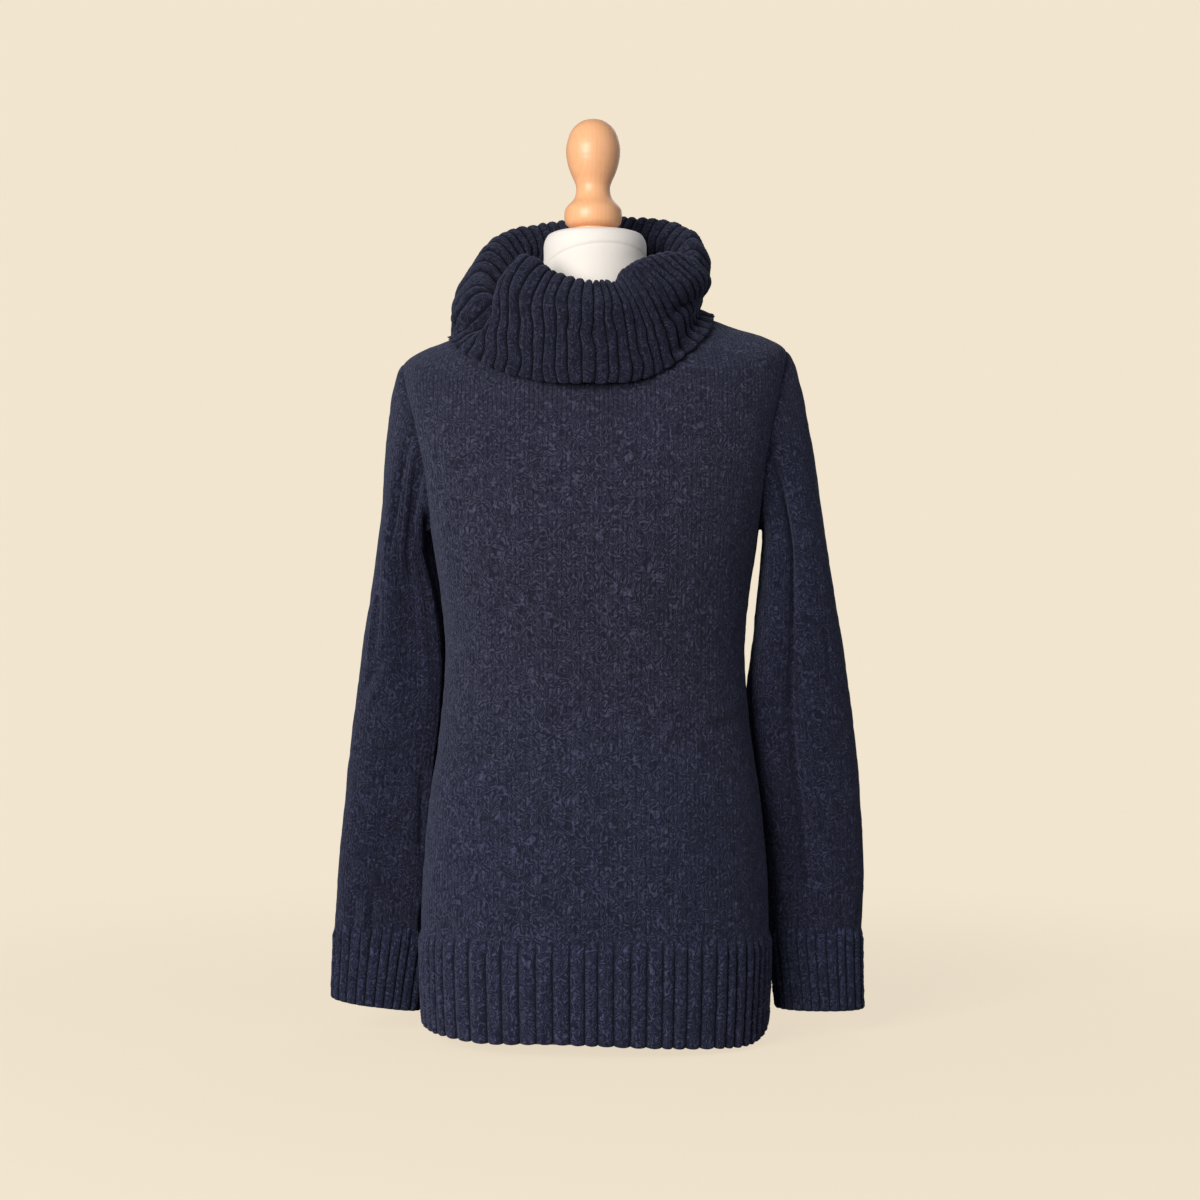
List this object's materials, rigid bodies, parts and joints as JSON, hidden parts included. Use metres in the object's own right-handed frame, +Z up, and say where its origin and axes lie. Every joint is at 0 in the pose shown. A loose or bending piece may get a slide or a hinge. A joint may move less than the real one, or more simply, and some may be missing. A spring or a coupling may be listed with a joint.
{
  "type": "turtleneck sweater on a limbless dress form",
  "caption": "Chunky long-sleeved turtleneck sweater with a folded ribbed collar, ribbed hem and cuffs, worn by a limbless dress form with a turned wooden knob.",
  "frame": {"origin": "the middle of the dress form's flat foot, on the surface it stands on, below the neck and knob", "axes": "+Z up, the garment's front faces -Y, +X is the wearer's left"},
  "size_m": [0.5549, 0.2458, 0.9445],
  "materials": {
    "plain_knit": "matte fuzzy dark navy marl yarn in plain knit",
    "rib_knit": "matte fuzzy dark navy marl yarn in wide ribs",
    "form_jersey": "smooth off-white stretch jersey over padding",
    "turned_wood": "pale turned wood, satin varnish"
  },
  "bodies": {
    "root": {"body_back": "plain_knit", "body_front": "plain_knit", "collar": "rib_knit", "cuff_left": "rib_knit", "cuff_right": "rib_knit", "form_knob": "turned_wood", "form_torso": "form_jersey", "hem_rib_back": "rib_knit", "hem_rib_front": "rib_knit", "sleeve_left": "plain_knit", "sleeve_right": "plain_knit"}
  },
  "joints": []
}
